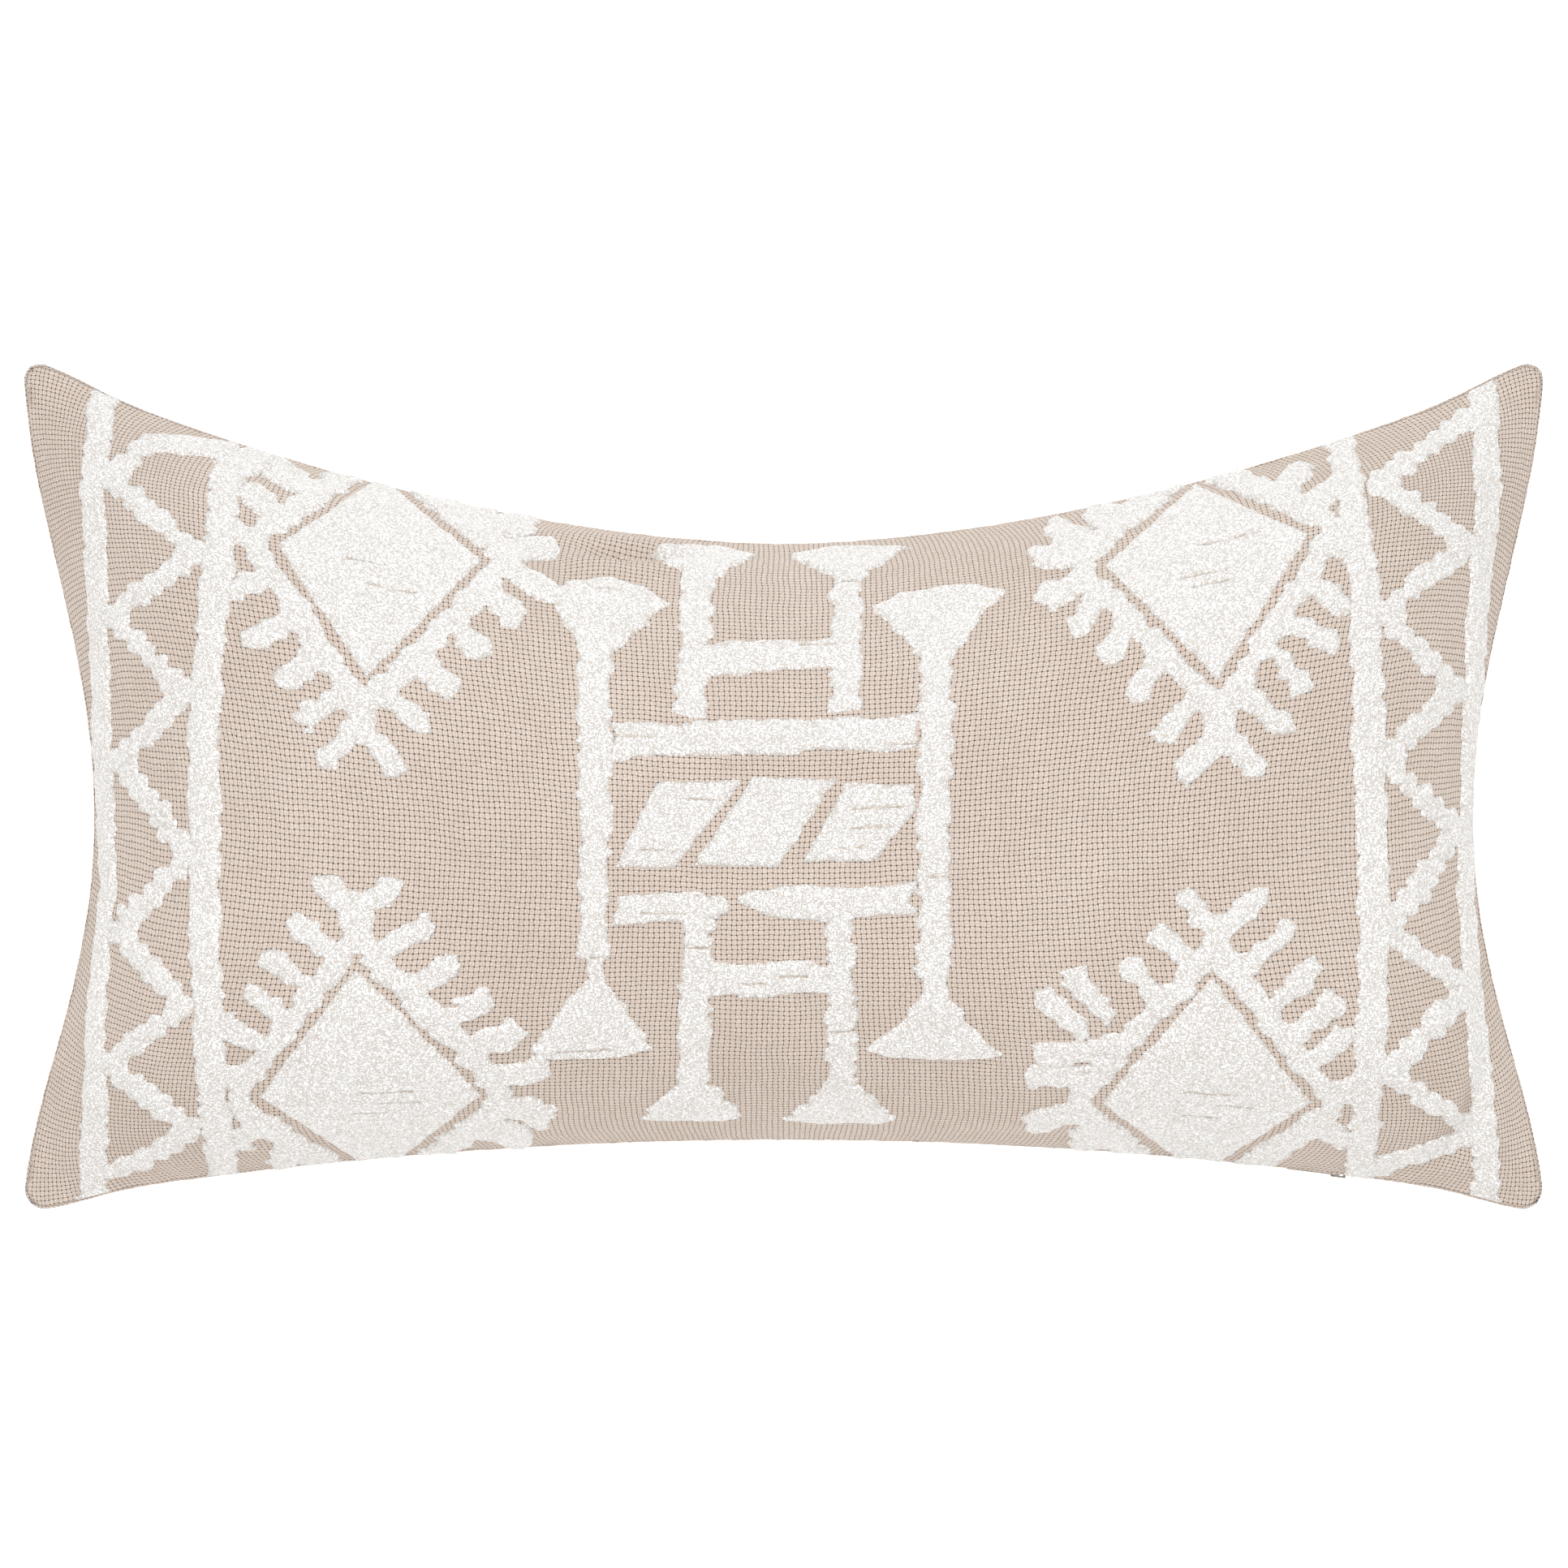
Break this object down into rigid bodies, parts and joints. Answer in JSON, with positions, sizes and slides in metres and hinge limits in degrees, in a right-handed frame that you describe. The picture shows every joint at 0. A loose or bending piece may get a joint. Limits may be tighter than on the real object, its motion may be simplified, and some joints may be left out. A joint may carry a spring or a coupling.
{
  "type": "throw pillow",
  "caption": "Lumbar throw pillow: a zipped woven cover with raised embroidery on its front, over a filled insert, lying on its back.",
  "frame": {"origin": "on the surface the pillow lies on, under the middle of its box", "axes": "+X along its length, +Y towards its top seam, +Z out of its embroidered front"},
  "size_m": [0.64, 0.354, 0.1852],
  "materials": {
    "cover_cloth": "matt basket weave, natural beige",
    "embroidery_yarn": "soft white tufted yarn",
    "sewing_thread": "spun polyester thread",
    "label_cloth": "blank woven satin",
    "insert_cloth": "plain white cotton",
    "fibre_fill": "lofted polyester fibre",
    "zipper_tape": "woven tape",
    "zipper_teeth": "nylon coil",
    "zipper_metal": "satin nickel"
  },
  "bodies": {
    "pillow": {"cover_front_panel": "cover_cloth", "cover_back_panel": "cover_cloth", "cover_seam_thread": "sewing_thread", "cover_care_label": "label_cloth", "insert_front_panel": "insert_cloth", "insert_back_panel": "insert_cloth", "insert_filling": "fibre_fill", "zipper_tape_front": "zipper_tape", "zipper_tape_back": "zipper_tape", "zipper_coil_front": "zipper_teeth", "zipper_coil_back": "zipper_teeth", "zipper_top_stops": "zipper_metal", "zipper_bottom_stop": "zipper_metal", "embroidery_left_outer_bar": "embroidery_yarn", "embroidery_left_inner_bar": "embroidery_yarn", "embroidery_left_zigzag": "embroidery_yarn", "embroidery_right_outer_bar": "embroidery_yarn", "embroidery_right_inner_bar": "embroidery_yarn", "embroidery_right_zigzag": "embroidery_yarn", "embroidery_top_left_diamond": "embroidery_yarn", "embroidery_top_left_leaves": "embroidery_yarn", "embroidery_top_right_diamond": "embroidery_yarn", "embroidery_top_right_leaves": "embroidery_yarn", "embroidery_bottom_left_diamond": "embroidery_yarn", "embroidery_bottom_left_leaves": "embroidery_yarn", "embroidery_bottom_right_diamond": "embroidery_yarn", "embroidery_bottom_right_leaves": "embroidery_yarn", "embroidery_centre_left_column": "embroidery_yarn", "embroidery_centre_right_column": "embroidery_yarn", "embroidery_centre_upper_bar": "embroidery_yarn", "embroidery_centre_lower_bar": "embroidery_yarn", "embroidery_centre_blocks": "embroidery_yarn", "embroidery_centre_upper_ladder": "embroidery_yarn", "embroidery_centre_lower_ladder": "embroidery_yarn"},
    "slider": {"zipper_slider_body": "zipper_metal"},
    "pull": {"zipper_pull_tab": "zipper_metal"}
  },
  "joints": [
    {"name": "zip_travel", "type": "hinge", "parent": "pillow", "child": "slider", "pos_m": [0, -2.02507, 0.088], "axis": [0, 0, 1], "range_deg": [0, 13.93]},
    {"name": "pull_swing", "type": "hinge", "parent": "slider", "child": "pull", "pos_m": [0.23338, -0.16418, 0.088], "axis": [0, 0, 1], "range_deg": [0, 170]}
  ]
}
